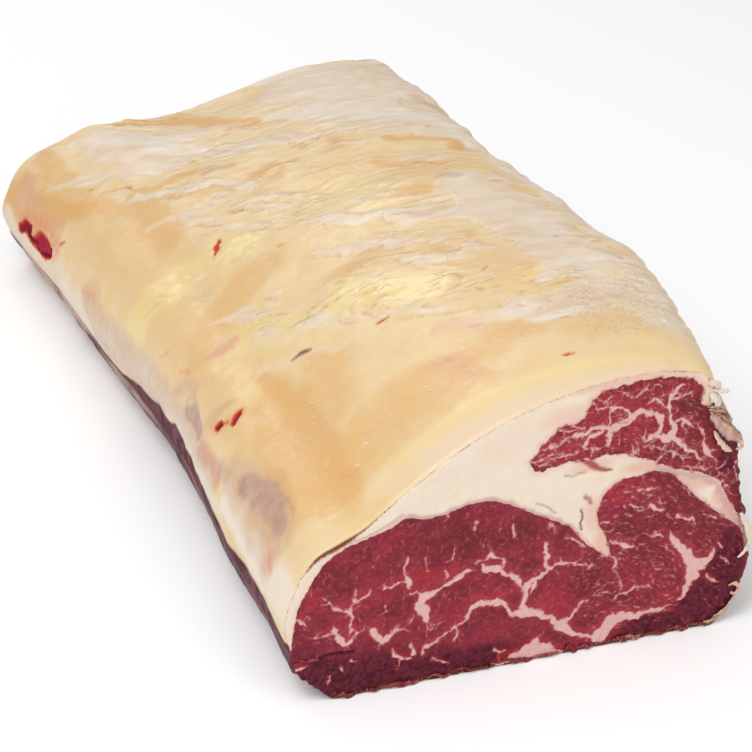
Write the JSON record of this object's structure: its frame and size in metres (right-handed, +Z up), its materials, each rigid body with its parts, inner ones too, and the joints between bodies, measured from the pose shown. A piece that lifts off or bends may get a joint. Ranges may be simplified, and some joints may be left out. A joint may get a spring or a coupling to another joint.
{
  "type": "raw beef striploin",
  "caption": "Raw dry-aged beef striploin: a long loin muscle and a marbled cap muscle under a thick cover of fat, with a square cut at each end.",
  "frame": {"origin": "middle of the bounding box on the flat underside", "axes": "+Z up, +Y along the loin away from the shown cut, +X towards the side with the cap muscle"},
  "size_m": [0.1962, 0.407, 0.1135],
  "materials": {
    "fat": "waxy, cream to yellow, with dried flakes",
    "cap_meat": "moist red lean, heavily marbled",
    "eye_meat": "moist wine-red lean, marbled, dried darker at the underside"
  },
  "bodies": {
    "root": {"fat_cover": "fat", "cap_lean": "cap_meat", "eye_lean": "eye_meat"}
  },
  "joints": []
}
